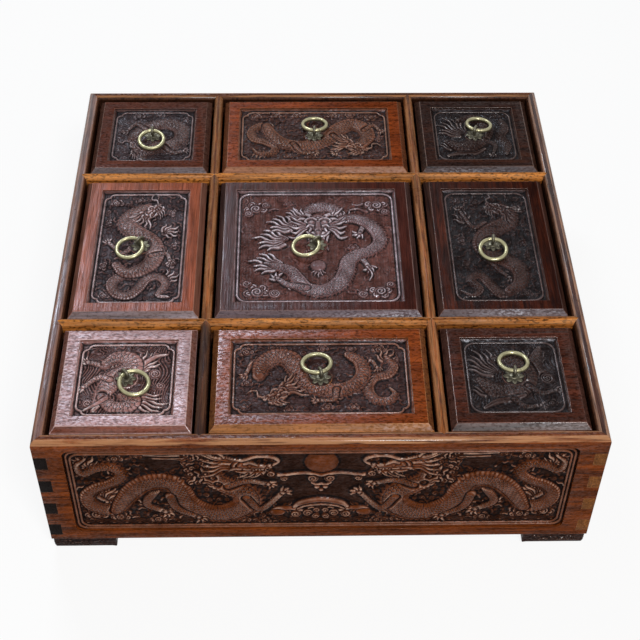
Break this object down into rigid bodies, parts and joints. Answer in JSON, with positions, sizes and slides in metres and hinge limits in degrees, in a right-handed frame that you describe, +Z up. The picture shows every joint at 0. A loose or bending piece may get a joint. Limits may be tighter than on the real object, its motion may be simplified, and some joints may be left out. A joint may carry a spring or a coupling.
{
  "type": "treasure box",
  "caption": "Square carved rosewood box on bracket feet, its top divided by round-edged bars into wells closed by lift-off carved lids with brass ring pulls.",
  "frame": {"origin": "centre of the footprint, on the surface that the box stands on", "axes": "+X to the right seen from the carved front, +Y to the back, +Z up"},
  "size_m": [0.35, 0.35, 0.116],
  "materials": {
    "board_wood": "carved and oiled, satin gloss",
    "divider_wood": "polished round edges, satin gloss",
    "lid_wood": "carved and oiled, satin gloss",
    "foot_wood": "carved and oiled, satin gloss",
    "inner_wood": "plain, thinly oiled",
    "brass": "old polished brass, slightly green"
  },
  "bodies": {
    "box": {"front_board": "board_wood", "back_board": "board_wood", "left_board": "board_wood", "right_board": "board_wood", "front_divider": "divider_wood", "back_divider": "divider_wood", "left_divider": "divider_wood", "right_divider": "divider_wood", "front_left_foot": "foot_wood", "front_right_foot": "foot_wood", "back_left_foot": "foot_wood", "back_right_foot": "foot_wood", "short_lid_cleats": "inner_wood", "long_lid_cleats": "inner_wood", "bottom_panel": "inner_wood"},
    "front_left_cover": {"front_left_lid": "lid_wood", "front_left_rosette": "brass", "front_left_pin": "brass"},
    "front_left_pull": {"front_left_ring": "brass"},
    "front_middle_cover": {"front_middle_lid": "lid_wood", "front_middle_rosette": "brass", "front_middle_pin": "brass"},
    "front_middle_pull": {"front_middle_ring": "brass"},
    "front_right_cover": {"front_right_lid": "lid_wood", "front_right_rosette": "brass", "front_right_pin": "brass"},
    "front_right_pull": {"front_right_ring": "brass"},
    "middle_left_cover": {"middle_left_lid": "lid_wood", "middle_left_rosette": "brass", "middle_left_pin": "brass"},
    "middle_left_pull": {"middle_left_ring": "brass"},
    "centre_cover": {"centre_lid": "lid_wood", "centre_rosette": "brass", "centre_pin": "brass"},
    "centre_pull": {"centre_ring": "brass"},
    "middle_right_cover": {"middle_right_lid": "lid_wood", "middle_right_rosette": "brass", "middle_right_pin": "brass"},
    "middle_right_pull": {"middle_right_ring": "brass"},
    "back_left_cover": {"back_left_lid": "lid_wood", "back_left_rosette": "brass", "back_left_pin": "brass"},
    "back_left_pull": {"back_left_ring": "brass"},
    "back_middle_cover": {"back_middle_lid": "lid_wood", "back_middle_rosette": "brass", "back_middle_pin": "brass"},
    "back_middle_pull": {"back_middle_ring": "brass"},
    "back_right_cover": {"back_right_lid": "lid_wood", "back_right_rosette": "brass", "back_right_pin": "brass"},
    "back_right_pull": {"back_right_ring": "brass"}
  },
  "joints": [
    {"name": "front_left_lift", "type": "slide", "parent": "box", "child": "front_left_cover", "axis": [0, 0, 1], "range_m": [0, 0.1]},
    {"name": "front_left_swing", "type": "hinge", "parent": "front_left_cover", "child": "front_left_pull", "pos_m": [-0.122, -0.122, 0.1123], "axis": [-0.7431, -0.6691, 0], "range_deg": [0, 163]},
    {"name": "front_middle_lift", "type": "slide", "parent": "box", "child": "front_middle_cover", "axis": [0, 0, 1], "range_m": [0, 0.1]},
    {"name": "front_middle_swing", "type": "hinge", "parent": "front_middle_cover", "child": "front_middle_pull", "pos_m": [0, -0.122, 0.1123], "axis": [0.9659, 0.2588, 0], "range_deg": [0, 163]},
    {"name": "front_right_lift", "type": "slide", "parent": "box", "child": "front_right_cover", "axis": [0, 0, 1], "range_m": [0, 0.1]},
    {"name": "front_right_swing", "type": "hinge", "parent": "front_right_cover", "child": "front_right_pull", "pos_m": [0.122, -0.122, 0.1123], "axis": [0.9994, -0.0349, 0], "range_deg": [0, 163]},
    {"name": "middle_left_lift", "type": "slide", "parent": "box", "child": "middle_left_cover", "axis": [0, 0, 1], "range_m": [0, 0.1]},
    {"name": "middle_left_swing", "type": "hinge", "parent": "middle_left_cover", "child": "middle_left_pull", "pos_m": [-0.122, 0, 0.1123], "axis": [-0.6428, 0.766, 0], "range_deg": [0, 163]},
    {"name": "centre_lift", "type": "slide", "parent": "box", "child": "centre_cover", "axis": [0, 0, 1], "range_m": [0, 0.1]},
    {"name": "centre_swing", "type": "hinge", "parent": "centre_cover", "child": "centre_pull", "pos_m": [0, 0, 0.1123], "axis": [-0.5, 0.866, 0], "range_deg": [0, 163]},
    {"name": "middle_right_lift", "type": "slide", "parent": "box", "child": "middle_right_cover", "axis": [0, 0, 1], "range_m": [0, 0.1]},
    {"name": "middle_right_swing", "type": "hinge", "parent": "middle_right_cover", "child": "middle_right_pull", "pos_m": [0.122, 0, 0.1123], "axis": [-0.9962, 0.0872, 0], "range_deg": [0, 163]},
    {"name": "back_left_lift", "type": "slide", "parent": "box", "child": "back_left_cover", "axis": [0, 0, 1], "range_m": [0, 0.1]},
    {"name": "back_left_swing", "type": "hinge", "parent": "back_left_cover", "child": "back_left_pull", "pos_m": [-0.122, 0.122, 0.1123], "axis": [-0.9994, 0.0349, 0], "range_deg": [0, 163]},
    {"name": "back_middle_lift", "type": "slide", "parent": "box", "child": "back_middle_cover", "axis": [0, 0, 1], "range_m": [0, 0.1]},
    {"name": "back_middle_swing", "type": "hinge", "parent": "back_middle_cover", "child": "back_middle_pull", "pos_m": [0, 0.122, 0.1123], "axis": [0.9994, -0.0349, 0], "range_deg": [0, 163]},
    {"name": "back_right_lift", "type": "slide", "parent": "box", "child": "back_right_cover", "axis": [0, 0, 1], "range_m": [0, 0.1]},
    {"name": "back_right_swing", "type": "hinge", "parent": "back_right_cover", "child": "back_right_pull", "pos_m": [0.122, 0.122, 0.1123], "axis": [0.9135, -0.4067, 0], "range_deg": [0, 163]}
  ]
}
